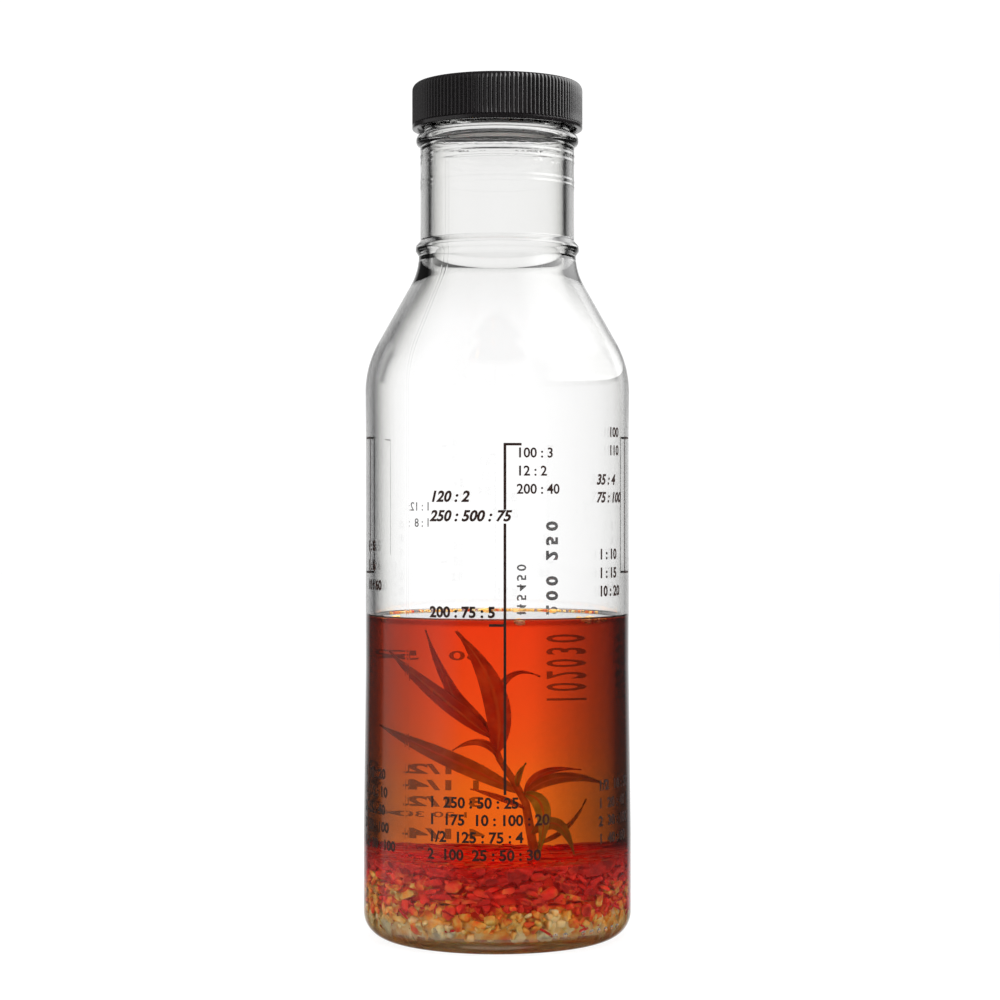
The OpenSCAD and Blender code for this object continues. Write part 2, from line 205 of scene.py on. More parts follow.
def makeFloor():
    material = bpy.data.materials.new("whitePaintedCove")
    material.use_nodes = True
    tree = material.node_tree
    tree.nodes.clear()
    path, direct = seenDirectly(tree)
    share = addNode(tree, "ShaderNodeMath", {"operation": "MULTIPLY", 1: studio["floorWhite"]}, {0: direct.outputs[0]})
    depth = roomInGloss(tree)
    dim = addNode(tree, "ShaderNodeEmission", {"Color": (1, 1, 1, 1)}, {"Strength": depth.outputs[0]})
    paint = addNode(tree, "ShaderNodeBsdfDiffuse", {"Color": linearColour("#F4F4F2")})
    glow = addNode(tree, "ShaderNodeEmission", {"Color": (1, 1, 1, 1), "Strength": 1.1})
    gloss = addNode(tree, "ShaderNodeMixShader", {}, {0: path.outputs["Is Glossy Ray"], 1: paint.outputs[0], 2: dim.outputs[0]})
    whole = addNode(tree, "ShaderNodeMixShader", {}, {0: share.outputs[0], 1: gloss.outputs[0], 2: glow.outputs[0]})
    addNode(tree, "ShaderNodeOutputMaterial", {}, {"Surface": whole.outputs[0]})
    bm = bmesh.new()
    bmesh.ops.create_grid(bm, x_segments=1, y_segments=1, size=studio["floorSize"])
    mesh = bpy.data.meshes.new("floor")
    bm.to_mesh(mesh)
    bm.free()
    mesh.materials.append(material)
    floor = bpy.data.objects.new("floor", mesh)
    bpy.context.scene.collection.objects.link(floor)


# soft boxes: name, place, width, height, power and the point they face, in millimetres and watts
def makeLamp(name, place, width, height, power):
    data = bpy.data.lights.new(name, "AREA")
    data.shape = "RECTANGLE"
    data.size = width * mm
    data.size_y = height * mm
    data.energy = power
    lamp = bpy.data.objects.new(name, data)
    lamp.location = [v * mm for v in place]
    aim = Vector((0, 0, 110 * mm)) - lamp.location
    lamp.rotation_euler = aim.to_track_quat("-Z", "Y").to_euler()
    lamp.visible_camera = False
    lamp.visible_glossy = False
    lamp.visible_transmission = False
    bpy.context.scene.collection.objects.link(lamp)


makeWorld()
makeFloor()
makeLamp("softboxLeft", (-620, -420, 260), 300, 700, 3.0)
makeLamp("softboxRight", (560, -520, 380), 160, 500, 3.0)
makeLamp("overhead", (0, -60, 900), 700, 500, 4.0)
print("studio ready")

# Glass bottle, all in millimetres
glass = {
    "height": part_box("glass_bottle")[1].z / mm, "heelRadius": 31.75, "panelRadius": 31.25, "shoulderRadius": 31.35,
    "heelArc": 6, "heelBand": 25, "panelLow": 64, "panelHigh": 120, "shoulderZ": 129,
    "shoulderArc": 24, "neckArc": 15.6, "slope": 29.5, "wall": 1.8, "floorZ": 3.5, "floorDome": 1.5, "floorArc": 4.5,
    "innerShoulderArc": 22, "innerNeckArc": 14, "restWidth": 1.6, "pushUp": 2.0,
    "neckRadius": 18.3, "neckRoot": 18.65, "bore": 15.6, "ringRadius": 19.4, "ringZ": 163, "ringHeight": 3.4,
    "ringCrest": 1.3, "finishRadius": 17.4, "threadRadius": 18.6, "pitch": 4.233, "turns": 1.25, "threadWidth": 2.4,
    "threadCrest": 0.9, "threadDrop": 1.2, "beadDrop": 9.8, "beadRadius": 19.3, "beadHeight": 2.7, "lipRound": 0.6,
    "columns": 216,
}
cavityRadius = glass["panelRadius"] - glass["wall"]
slopeSin = math.sin(math.radians(glass["slope"]))
slopeCos = math.cos(math.radians(glass["slope"]))


# height gained by a shoulder that steps in by a radius through two curves and a straight flank
def shoulderRise(step, outArc, inArc):
    flank = (step - (outArc + inArc) * (1 - slopeCos)) / slopeSin
    return (outArc + inArc) * slopeSin + flank * slopeCos


def shoulderPoints(r0, z0, r1, outArc, inArc):
    top = z0 + shoulderRise(r0 - r1, outArc, inArc)
    return (arcPoints(r0 - outArc, z0, outArc, 0, glass["slope"], 14)
            + arcPoints(r1 + inArc, top, inArc, 180 + glass["slope"], 180, 12))


# the inner floor from its middle to the wall, drawn in by a gap
def cavityFoot(gap):
    reach = cavityRadius - glass["floorArc"]
    dome = [(reach * i / 12, glass["floorZ"] + gap + glass["floorDome"] * (1 + math.cos(math.pi * i / 12)) / 2)
            for i in range(13)]
    corner = arcPoints(reach, glass["floorZ"] + glass["floorArc"], glass["floorArc"] - gap, -82, 0, 10)
    return dome + corner


# radius of the glass at a height on the body, where the print lies
def bodyRadius(z):
    if z < glass["heelBand"]:
        return glass["heelRadius"]
    if z < glass["panelLow"]:
        share = (z - glass["heelBand"]) / (glass["panelLow"] - glass["heelBand"])
        return glass["heelRadius"] + share * (glass["panelRadius"] - glass["heelRadius"])
    return glass["panelRadius"]


def glassOutline():
    reach = glass["heelRadius"] - glass["heelArc"] - glass["restWidth"]
    beadTop = glass["height"] - glass["beadDrop"]
    beadLow = beadTop - glass["beadHeight"]
    beadArc = glass["beadHeight"] * 0.42
    lip = glass["lipRound"]
    under = [(reach * i / 12, glass["pushUp"] * (1 + math.cos(math.pi * i / 12)) / 2) for i in range(13)]
    heel = arcPoints(glass["heelRadius"] - glass["heelArc"], glass["heelArc"], glass["heelArc"], -90, 0, 18)
    panel = [(glass["heelRadius"], glass["heelBand"]), (glass["panelRadius"], glass["panelLow"]),
             (glass["panelRadius"], glass["panelHigh"])]
    neckRing = [(glass["neckRoot"], glass["ringZ"] - glass["ringHeight"] / 2),
                (glass["ringRadius"] - 0.2, glass["ringZ"] - glass["ringCrest"] / 2 - 0.2),
                (glass["ringRadius"], glass["ringZ"] - glass["ringCrest"] / 2 + 0.1),
                (glass["ringRadius"], glass["ringZ"] + glass["ringCrest"] / 2 - 0.1),
                (glass["ringRadius"] - 0.2, glass["ringZ"] + glass["ringCrest"] / 2 + 0.2),
                (glass["neckRadius"] + 0.15, glass["ringZ"] + glass["ringHeight"] / 2),
                (glass["neckRadius"], glass["ringZ"] + glass["ringHeight"] / 2 + 0.4),
                (glass["neckRadius"], glass["ringZ"] + glass["ringHeight"] / 2 + 0.7)]
    ripples = []
    for z, swell in ((177.6, 0.05), (178.8, 0.07), (183.4, 0.06), (185.0, 0.09)):
        ripples += [(glass["neckRadius"] + swell * share, z + rise) for rise, share in (
            (-0.58, 0), (-0.45, 0), (-0.2, 0.75), (0, 1), (0.2, 0.75), (0.45, 0), (0.58, 0))]
    bead = ([(glass["neckRadius"], beadLow - 0.6), (glass["neckRadius"] + 0.15, beadLow - 0.1)]
            + arcPoints(glass["beadRadius"] - beadArc, beadLow + beadArc, beadArc, -70, 0, 6)
            + arcPoints(glass["beadRadius"] - beadArc, beadTop - beadArc, beadArc, 0, 80, 6)
            + [(glass["finishRadius"] + 0.2, beadTop + 0.1), (glass["finishRadius"], beadTop + 0.5)])
    lipOut = arcPoints(glass["finishRadius"] - lip, glass["height"] - lip, lip, 0, 90, 5)
    lipIn = arcPoints(glass["bore"] + lip, glass["height"] - lip, lip, 90, 180, 5)
    shoulder = shoulderPoints(glass["shoulderRadius"], glass["shoulderZ"], glass["neckRoot"],
                              glass["shoulderArc"], glass["neckArc"])
    shoulder = [p for p in shoulder if p[1] < neckRing[0][1] - 0.2]
    inner = (cavityFoot(0) + shoulderPoints(cavityRadius, glass["shoulderZ"] - 0.5, glass["bore"],
                                            glass["innerShoulderArc"], glass["innerNeckArc"]))
    outside = refine(under + heel + panel + shoulder + neckRing + ripples + bead, 3.0)
    finish = refine([bead[-1], lipOut[0]], 0.22)
    return outside + finish[1:] + lipOut[1:] + lipIn + refine(list(reversed(inner)), 3.0)


# height of the helical thread over the finish wall at a point
def threadLift(x, y, z):
    lowest = glass["height"] - glass["threadDrop"] - glass["threadWidth"] / 2 - glass["turns"] * glass["pitch"]
    around = math.degrees(math.atan2(y, x)) % 360
    best = 0
    for turn in range(2):
        angle = around + 360 * turn
        if angle > 360 * glass["turns"]:
            continue
        away = abs(z - lowest - glass["pitch"] * angle / 360)
        flank = (glass["threadWidth"] - glass["threadCrest"]) / 2
        share = min(1, max(0, (glass["threadWidth"] / 2 - away) / flank))
        runout = min(1, angle / 40, (360 * glass["turns"] - angle) / 40)
        best = max(best, share * share * (3 - 2 * share) * max(0, runout))
    return best * (glass["threadRadius"] - glass["finishRadius"])


# small raised dots of the mould's code on the heel, as flattened beads sunk in the glass
def addMouldDots(bm, dots):
    for i in range(dots["count"]):
        if i == dots["missing"]:
            continue
        angle = math.radians(dots["start"] + dots["step"] * i)
        sink = math.sqrt(glass["heelArc"] ** 2 - (glass["heelArc"] - dots["z"]) ** 2)
        r = glass["heelRadius"] - glass["heelArc"] + sink - dots["diameter"] / 4
        place = Matrix.Translation((r * mm * math.cos(angle), r * mm * math.sin(angle), dots["z"] * mm))
        bmesh.ops.create_uvsphere(bm, u_segments=16, v_segments=10, radius=dots["diameter"] / 2 * mm, matrix=place)


# gives the painted tone to the shader, but lets light that has left the contents pass untoned
def clearBehind(tree, shader, tone):
    path = addNode(tree, "ShaderNodeLightPath")
    mix = addNode(tree, "ShaderNodeMix", {"data_type": "RGBA", 7: (1, 1, 1, 1)}, {0: path.outputs["Diffuse Depth"], 6: tone})
    tree.links.new(mix.outputs[2], shader.inputs["Base Color"])


# Clear flint glass, blown in a mould: slight waves in the wall, with painted shade where it is seen edge on;
# tint is the strength of its reflections
def flintGlass(name, tint):
    material, tree, shader = newMaterial(name, {
        "Roughness": 0.0, "IOR": 1.52, "Transmission Weight": 1.0, "Specular Tint": (tint, tint, tint, 1)})
    place = addNode(tree, "ShaderNodeTexCoord")
    edge = addNode(tree, "ShaderNodeLayerWeight", {"Blend": 0.5})
    axes = addNode(tree, "ShaderNodeSeparateXYZ", {}, {"Vector": place.outputs["Object"]})
    # painted shade: the dark edge is narrower and paler on the right side
    toRight = addNode(tree, "ShaderNodeMapRange", {"From Min": 8 * mm, "From Max": 29 * mm}, {"Value": axes.outputs["X"]})
    narrowed = addNode(tree, "ShaderNodeMath", {"operation": "MULTIPLY_ADD", 1: -0.13}, {
        0: toRight.outputs["Result"], 2: edge.outputs["Facing"]})
    plain = addNode(tree, "ShaderNodeValToRGB", {"stops": [
        (0.0, "#FFFFFF"), (0.25, "#FFFFFF"), (0.42, "#F3F3F2"), (0.5, "#E2E2E0"), (0.57, "#C4C4C2"), (0.62, "#848484"),
        (0.65, "#464646"), (0.69, "#5A5A5A"), (0.76, "#868686"), (0.82, "#909090"), (1.0, "#949494")]},
        {"Fac": narrowed.outputs[0]})
    paler = addNode(tree, "ShaderNodeMath", {"operation": "MULTIPLY", 1: 0.4}, {0: toRight.outputs["Result"]})
    body = addNode(tree, "ShaderNodeMix", {"data_type": "RGBA", 7: linearColour("#D2D2D0")}, {
        0: paler.outputs[0], 6: plain.outputs["Color"]})
    # painted shade on the neck: the neck's wall is thick for its width, so its dark edge lies further in
    neck = addNode(tree, "ShaderNodeValToRGB", {"stops": [
        (0.0, "#EFEFEE"), (0.3, "#E8E8E6"), (0.42, "#CECECC"), (0.46, "#A0A09E"), (0.49, "#242424"), (0.52, "#060606"),
        (0.55, "#181818"), (0.62, "#6A6A6A"), (0.72, "#BEBEBE"), (1.0, "#C8C8C8")]}, {"Fac": edge.outputs["Facing"]})
    high = addNode(tree, "ShaderNodeMapRange", {"From Min": 144 * mm, "From Max": 160 * mm}, {"Value": axes.outputs["Z"]})
    outer = addNode(tree, "ShaderNodeMix", {"data_type": "RGBA"}, {
        0: high.outputs["Result"], 6: body.outputs[2], 7: neck.outputs["Color"]})
    # painted edge shade seen on the inner wall
    within = addNode(tree, "ShaderNodeMath", {"operation": "MULTIPLY_ADD", 1: -0.25}, {
        0: toRight.outputs["Result"], 2: narrowed.outputs[0]})
    inner = addNode(tree, "ShaderNodeValToRGB", {"stops": [
        (0.0, "#FFFFFF"), (0.25, "#FFFFFF"), (0.43, "#EEEEED"), (0.5, "#DDDDDB"), (0.6, "#C0C0BE"), (0.68, "#A3A3A1"),
        (0.74, "#7A7A78"), (0.85, "#707070"), (1.0, "#606060")]}, {"Fac": within.outputs[0]})
    inside = addNode(tree, "ShaderNodeAttribute", {"attribute_name": "inside"})
    both = addNode(tree, "ShaderNodeMix", {"data_type": "RGBA"}, {
        0: inside.outputs["Fac"], 6: outer.outputs[2], 7: inner.outputs["Color"]})
    # painted edge shade of the wetted glass: pale and warm beside the bits, brown where the dressing fills the bottle
    # above them
    wet = addNode(tree, "ShaderNodeValToRGB", {"stops": [
        (0.0, "#FFFFFF"), (0.4, "#FFFFFF"), (0.66, "#FAF2EA"), (0.85, "#DCC6B6"), (1.0, "#A89284")]},
        {"Fac": edge.outputs["Facing"]})
    filled = addNode(tree, "ShaderNodeValToRGB", {"stops": [
        (0.0, "#FFFFFF"), (0.35, "#FFFFFF"), (0.46, "#F2E8DE"), (0.51, "#D8C0B0"), (0.55, "#A07C68"), (0.64, "#94705C"),
        (0.74, "#A27E6A"), (0.82, "#8A6450"), (1.0, "#6A4838")]}, {"Fac": edge.outputs["Facing"]})
    # the dressing is darker on the right, away from the light
    shaded = addNode(tree, "ShaderNodeMix", {"data_type": "RGBA", "blend_type": "MULTIPLY", 7: linearColour("#C0B8BC")}, {
        0: toRight.outputs["Result"], 6: filled.outputs["Color"]})
    overBed = addNode(tree, "ShaderNodeMapRange", {"From Min": 17 * mm, "From Max": 24 * mm}, {"Value": axes.outputs["Z"]})
    below = addNode(tree, "ShaderNodeMix", {"data_type": "RGBA"}, {
        0: overBed.outputs["Result"], 6: wet.outputs["Color"], 7: shaded.outputs[2]})
    # painted reflection: the foot of the glass is tinted with the brown of the bits that lie on it
    foot = addNode(tree, "ShaderNodeMapRange", {"From Min": 4.5 * mm, "From Max": 2.5 * mm}, {"Value": axes.outputs["Z"]})
    lowest = addNode(tree, "ShaderNodeMix", {"data_type": "RGBA", "blend_type": "MULTIPLY", 7: linearColour("#D0A080")}, {
        0: foot.outputs["Result"], 6: below.outputs[2]})
    full = addNode(tree, "ShaderNodeMapRange", {"From Min": 75.5 * mm, "From Max": 77 * mm}, {"Value": axes.outputs["Z"]})
    tone = addNode(tree, "ShaderNodeMix", {"data_type": "RGBA"}, {
        0: full.outputs["Result"], 6: lowest.outputs[2], 7: both.outputs[2]})
    clearBehind(tree, shader, tone.outputs[2])
    stretch = addNode(tree, "ShaderNodeMapping", {"Scale": (1, 1, 0.35)}, {"Vector": place.outputs["Object"]})
    waves = addNode(tree, "ShaderNodeTexNoise", {"Scale": 1 / (14 * mm), "Detail": 1.0}, {"Vector": stretch.outputs[0]})
    # the mould's parting seam runs up two opposite sides
    turned = addNode(tree, "ShaderNodeMapping", {"Rotation": (0, 0, math.radians(131.8))}, {"Vector": place.outputs["Object"]})
    offPlane = addNode(tree, "ShaderNodeSeparateXYZ", {}, {"Vector": turned.outputs[0]})
    away = addNode(tree, "ShaderNodeMath", {"operation": "ABSOLUTE"}, {0: offPlane.outputs["Y"]})
    seam = addNode(tree, "ShaderNodeMapRange", {"From Min": 0.0, "From Max": 0.22 * mm, "To Min": 0.5, "To Max": 0.0},
                   {"Value": away.outputs[0]})
    # the glass is rough with small ripples where the neck's mould halves meet the bead's
    chill = addNode(tree, "ShaderNodeTexNoise", {"Scale": 1 / (2.2 * mm), "Detail": 2.0}, {"Vector": place.outputs["Object"]})
    rise = addNode(tree, "ShaderNodeMapRange", {"From Min": 175.5 * mm, "From Max": 180 * mm, "To Min": 0.0, "To Max": 1.1},
                   {"Value": axes.outputs["Z"]})
    fall = addNode(tree, "ShaderNodeMapRange", {"From Min": 189 * mm, "From Max": 186 * mm}, {"Value": axes.outputs["Z"]})
    zone = addNode(tree, "ShaderNodeMath", {"operation": "MULTIPLY"}, {0: rise.outputs["Result"], 1: fall.outputs["Result"]})
    rough = addNode(tree, "ShaderNodeMath", {"operation": "MULTIPLY_ADD"}, {
        0: zone.outputs[0], 1: chill.outputs["Fac"], 2: waves.outputs["Fac"]})
    height = addNode(tree, "ShaderNodeMath", {"operation": "ADD"}, {0: rough.outputs[0], 1: seam.outputs["Result"]})
    bump = addNode(tree, "ShaderNodeBump", {"Strength": 0.35, "Distance": 0.12 * mm}, {"Height": height.outputs[0]})
    tree.links.new(bump.outputs[0], shader.inputs["Normal"])
    return material


def isInnerWall(r, z):
    if z < glass["shoulderZ"]:
        return glass["floorZ"] - 0.1 < z and r < cavityRadius + 0.1
    share = min(1, (z - glass["shoulderZ"]) / (glass["ringZ"] - glass["shoulderZ"]))
    middle = cavityRadius + glass["wall"] / 2 + share * (glass["bore"] + 1.3 - cavityRadius - glass["wall"] / 2)
    return r < (middle if share < 1 else glass["bore"] + 0.4)


def makeGlass():
    bm = spinProfile(glassOutline(), glass["columns"])
    beadTop = glass["height"] - glass["beadDrop"]
    inside = bm.verts.layers.float.new("inside")
    for vert in bm.verts:
        x, y, z = vert.co / mm
        vert[inside] = 1.0 if isInnerWall(math.hypot(x, y), z) else 0.0
    for vert in bm.verts:
        x, y, z = vert.co / mm
        r = math.hypot(x, y)
        if beadTop + 0.4 < z < glass["height"] - glass["lipRound"] and abs(r - glass["finishRadius"]) < 0.05:
            grow = (r + threadLift(x, y, z)) / r
            vert.co.x *= grow
            vert.co.y *= grow
    addMouldDots(bm, {"count": 9, "missing": 2, "start": -65, "step": 4.6, "z": 4.6, "diameter": 1.2})
    bottle = makePiece("glassBottle", bm, flintGlass("clearBlownFlintGlass", 1.0), "bottle",
                       ["glass_bottle"], 50)
    # where the dressing wets the glass there is next to no reflection
    bottle.data.materials.append(flintGlass("wettedFlintGlass", 0.0))
    for face in bottle.data.polygons:
        x, y, z = face.center / mm
        if glass["floorZ"] - 0.1 < z < 76.5 and math.hypot(x, y) < cavityRadius + 0.1:
            face.material_index = 1


makeGlass()

# Dressing: the liquid reaches a little into the glass, so that no film of air is left between them
liquid = {"level": 76, "climb": 0.5, "climbWidth": 1.8, "intoGlass": 0.12, "columns": 180}


# Oil and vinegar coloured by paprika: clear, orange-red, with painted shade where the body is seen edge on
def oilDressing():
    material, tree, shader = newMaterial("paprikaOilDressing", {
        "Roughness": 0.0, "IOR": 1.47, "Transmission Weight": 1.0, "Specular Tint": (0, 0, 0, 1)})
    edge = addNode(tree, "ShaderNodeLayerWeight", {"Blend": 0.5})
    tone = addNode(tree, "ShaderNodeValToRGB", {"stops": [
        (0.0, "#FFFFFF"), (0.011, "#FFFFFF"), (0.033, "#E7E7E7"), (0.055, "#D8D8D8"), (0.095, "#C0C0C0"),
        (0.12, "#B3B3B3"), (0.16, "#A3A3A3"), (0.214, "#767676"), (0.235, "#4A5252"), (1.0, "#3A4242")]},
        {"Fac": edge.outputs["Facing"]})
    # more orange low down, redder under the surface, with a painted dark maroon band of shade just under the surface at
    # the meniscus
    place = addNode(tree, "ShaderNodeTexCoord")
    axes = addNode(tree, "ShaderNodeSeparateXYZ", {}, {"Vector": place.outputs["Object"]})
    height = addNode(tree, "ShaderNodeMapRange", {"From Min": 20 * mm, "From Max": 78 * mm}, {"Value": axes.outputs["Z"]})
    layers = addNode(tree, "ShaderNodeValToRGB", {"stops": [
        (0.0, "#FFFFFF"), (0.24, "#FFFFFF"), (0.415, "#FFD1F4"), (0.618, "#FFB7EC"), (0.869, "#FFA2E4"), (0.94, "#FF9ADC"),
        (0.95, "#A44658"), (0.965, "#A44658"), (0.97, "#FFF6E0")]},
        {"Fac": height.outputs["Result"]})
    overBed = addNode(tree, "ShaderNodeMapRange", {"From Min": 17 * mm, "From Max": 24 * mm}, {"Value": axes.outputs["Z"]})
    underTop = addNode(tree, "ShaderNodeMapRange", {"From Min": 76 * mm, "From Max": 75.8 * mm}, {"Value": axes.outputs["Z"]})
    between = addNode(tree, "ShaderNodeMath", {"operation": "MULTIPLY"}, {0: overBed.outputs["Result"], 1: underTop.outputs["Result"]})
    shade = addNode(tree, "ShaderNodeMix", {"data_type": "RGBA", 6: (1, 1, 1, 1)}, {
        0: between.outputs[0], 7: tone.outputs["Color"]})
    both = addNode(tree, "ShaderNodeMix", {"data_type": "RGBA", "blend_type": "MULTIPLY", 0: 1.0}, {
        6: shade.outputs[2], 7: layers.outputs["Color"]})
    clearBehind(tree, shader, both.outputs[2])
    depth = addNode(tree, "ShaderNodeVolumeAbsorption", {"Color": (0.955, 0.581, 0.0, 1), "Density": 84.0})
    tree.links.new(depth.outputs[0], tree.nodes["Material Output"].inputs["Volume"])
    return material


def makeDressing():
    outer = cavityRadius + liquid["intoGlass"]
    foot = cavityFoot(-liquid["intoGlass"])
    climb = []
    for i in range(13):
        t = i / 12
        climb.append((outer - liquid["climbWidth"] * t, liquid["level"] + liquid["climb"] * (1 - t) ** 2.4))
    points = refine(foot + climb[:1], 4.0) + climb[1:] + refine([climb[-1], (0, liquid["level"])], 4.0)[1:]
    bm = spinProfile(points, liquid["columns"])
    makePiece("dressing", bm, oilDressing(), "bottle", ["dressing"], 60)


makeDressing()

# Chopped bits: boxy crumbs with knocked-off corners, made once and copied
crumb = {"templates": 14, "jitter": 0.17, "bevel": 0.2, "seed": 11}


def crumbTemplates(chance):
    templates = []
    for i in range(crumb["templates"]):
        bm = bmesh.new()
        bmesh.ops.create_cube(bm, size=1.0)
        for vert in bm.verts:
            vert.co += Vector([chance.uniform(-crumb["jitter"], crumb["jitter"]) for k in range(3)])
        bmesh.ops.bevel(bm, geom=bm.edges, offset=crumb["bevel"], offset_type="OFFSET", segments=1, profile=0.5,
                        affect="EDGES", clamp_overlap=True, material=-1)
        bm.verts.index_update()
        templates.append(([v.co.copy() for v in bm.verts], [[v.index for v in f.verts] for f in bm.faces]))
        bm.free()
    return templates


chance = random.Random(crumb["seed"])
templates = crumbTemplates(chance)


# widest radius that contents may reach at a height inside the glass
def wallLimit(z):
    rise = glass["floorZ"] + glass["floorArc"] - z
    if rise <= 0:
        return cavityRadius
    reach = cavityRadius - glass["floorArc"]
    return reach + math.sqrt(max(0, glass["floorArc"] ** 2 - rise ** 2))


# copies one crumb to a place, pressed flat where it meets the glass, with its own tint
def addCrumb(bm, place, size, turn, tint, floor, roof):
    coords, faces = chance.choice(templates)
    basis = Matrix.Rotation(turn[2], 3, "Z") @ Matrix.Rotation(turn[0], 3, "X") @ Matrix.Rotation(turn[1], 3, "Y")
    layer = bm.verts.layers.float["tint"]
    verts = []
    for co in coords:
        point = place + basis @ Vector((co.x * size[0], co.y * size[1], co.z * size[2]))
        point.z = min(max(point.z, floor(point)), roof)
        limit = wallLimit(point.z) - 0.12
        r = math.hypot(point.x, point.y)
        if r > limit:
            point.x *= limit / r
            point.y *= limit / r
        vert = bm.verts.new(point * mm)
        vert[layer] = tint
        verts.append(vert)
    for face in faces:
        bm.faces.new([verts[k] for k in face])


def innerFloor(point):
    reach = cavityRadius - glass["floorArc"]
    r = min(math.hypot(point.x, point.y), reach)
    return glass["floorZ"] + glass["floorDome"] * (1 + math.cos(math.pi * r / reach)) / 2 + 0.1


# Settled bits: pale garlic lies low and to one side, red shallot flakes above it
garlic = {"low": 3.7, "high": 11.8, "count": 1000, "size": (1.3, 3.4), "flat": 0.6, "slivers": 46, "slot": "garlic_cream", "node": "garlic_bits"}
shallot = {"low": 11.2, "high": 20.1, "count": 1300, "size": (2.2, 5.6), "flat": 0.3, "slivers": 16, "slot": "shallot_red", "node": "shallot_bits"}


# tint 0 is pale garlic, 0.5 orange and soaked, 1 dark red shallot
def bedTint(point):
    lump = noise.noise(Vector((point.x, point.y, point.z * 1.6)) / 5.5)
    side = point.x / cavityRadius
    height = (point.z - 4) / 16
    redness = 0.36 + 1.15 * (height - 0.36) + 0.62 * lump + 0.16 * math.sin(math.pi * side / 2 + 0.6)
    return min(1, max(0, redness + chance.gauss(0, 0.09)))


def bitMaterial(name, roughness):
    material, tree, shader = newMaterial(name, {
        "Roughness": roughness, "IOR": 1.4, "Specular IOR Level": 0.06, "Subsurface Weight": 0.6,
        "Subsurface Radius": (1.0, 0.7, 0.5), "Subsurface Scale": 1.3 * mm})
    tint = addNode(tree, "ShaderNodeAttribute", {"attribute_name": "tint"})
    place = addNode(tree, "ShaderNodeTexCoord")
    fleck = addNode(tree, "ShaderNodeTexNoise", {"Scale": 1 / (2.0 * mm), "Detail": 3.0}, {"Vector": place.outputs["Object"]})
    shift = addNode(tree, "ShaderNodeMapRange", {"From Min": 0.3, "From Max": 0.7, "To Min": -0.2, "To Max": 0.2},
                    {"Value": fleck.outputs["Fac"]})
    total = addNode(tree, "ShaderNodeMath", {"operation": "ADD"}, {0: tint.outputs["Fac"], 1: shift.outputs["Result"]})
    tone = addNode(tree, "ShaderNodeValToRGB", {"stops": [
        (0.0, "#F8D8A0"), (0.2, "#F4B65E"), (0.38, "#F28E36"), (0.5, "#F0642C"), (0.64, "#F04228"), (0.82, "#F03426"),
        (1.0, "#D0261E")]},
        {"Fac": total.outputs[0]})
    tree.links.new(tone.outputs["Color"], shader.inputs["Base Color"])
    bump = addNode(tree, "ShaderNodeBump", {"Strength": 0.5, "Distance": 0.15 * mm}, {"Height": fleck.outputs["Fac"]})
    tree.links.new(bump.outputs[0], shader.inputs["Normal"])
    return material


def makeBed(name, bed, material):
    bm = bmesh.new()
    bm.verts.layers.float.new("tint")
    low, high = bed["low"], bed["high"]
    for i in range(bed["count"]):
        onTop = bed is shallot and i % 4 == 0
        z = high - chance.uniform(0.1, 0.9) if onTop else chance.uniform(low + 0.4, high - 0.4)
        limit = wallLimit(z)
        depth = limit * (1 - math.sqrt(chance.random())) if onTop else chance.random() ** 1.5 * 7
        angle = chance.uniform(0, 2 * math.pi)
        length = chance.uniform(*bed["size"])
        size = (length, length * chance.uniform(0.5, 0.85), length * bed["flat"] * chance.uniform(0.6, 1.1))
        r = max(0, limit - depth - 0.4)
        point = Vector((r * math.cos(angle), r * math.sin(angle), z))
        spread = 0.35 if bed is shallot else 1.2
        turn = (chance.gauss(0, spread), chance.gauss(0, spread), chance.uniform(0, 2 * math.pi))
        addCrumb(bm, point, size, turn, bedTint(point), innerFloor, high)
    # thin dark slivers against the glass
    for i in range(bed["slivers"]):
        z = chance.uniform(low + 1.0, high - 0.6)
        angle = chance.uniform(0, 2 * math.pi)
        r = wallLimit(z) - 0.4
        point = Vector((r * math.cos(angle), r * math.sin(angle), z))
        size = (chance.uniform(2.5, 5.0), 0.5, 0.5)
        addCrumb(bm, point, size, (0, chance.gauss(0, 0.6), angle + math.pi / 2), 1.0, innerFloor, high)
    # the heap behind the loose bits, so that no light comes through the bed
    layer = bm.verts.layers.float["tint"]
    core = spinProfile(coreOutline(low, high), 72)
    for vert in core.verts:
        vert.co *= 1 + 0.02 * noise.noise(vert.co / (3 * mm))
    core.verts.index_update()
    verts = [bm.verts.new(v.co) for v in core.verts]
    for vert in verts:
        vert[layer] = bedTint(vert.co / mm)
    for face in core.faces:
        bm.faces.new([verts[v.index] for v in face.verts])
    core.free()
    makePiece(name, bm, material, "bottle", [bed["node"]], 60)


def coreOutline(low, high):
    points = [(0, high - 0.7)]
    steps = 8
    for i in range(steps + 1):
        z = high - 0.7 - (high - low - 1.0) * i / steps
        points.append((min(wallLimit(z) - 2.6, cavityRadius - 2.6), z))
    points += [(points[-1][0] * 0.5, innerFloor(Vector((points[-1][0] * 0.5, 0, 0))) + 0.1 if low < 8 else points[-1][1])]
    points.append((0, innerFloor(Vector((0, 0, 0))) + 0.1 if low < 8 else points[-1][1]))
    return refine(points, 2.0)


makeBed("garlicBits", garlic, bitMaterial("choppedGarlicWet", 0.38))
makeBed("shallotBits", shallot, bitMaterial("choppedShallotWet", 0.3))

# Floating chips: direction in degrees, distance from the wall in chip lengths and turn, as modelled,
# and fine crumbs caught in the meniscus at the back
chips = {"length": 2.6, "thick": 1.2, "crumbs": 90, "places": [
    (-80, 1.1, 20), (-44, 1.1, 70), (-37, 1.3, 10), (-30, 1.7, 50), (58, 1.3, 35), (80, 1.1, 5), (97, 1.1, 60),
    (118, 1.3, 15), (204, 1.5, 40)]}


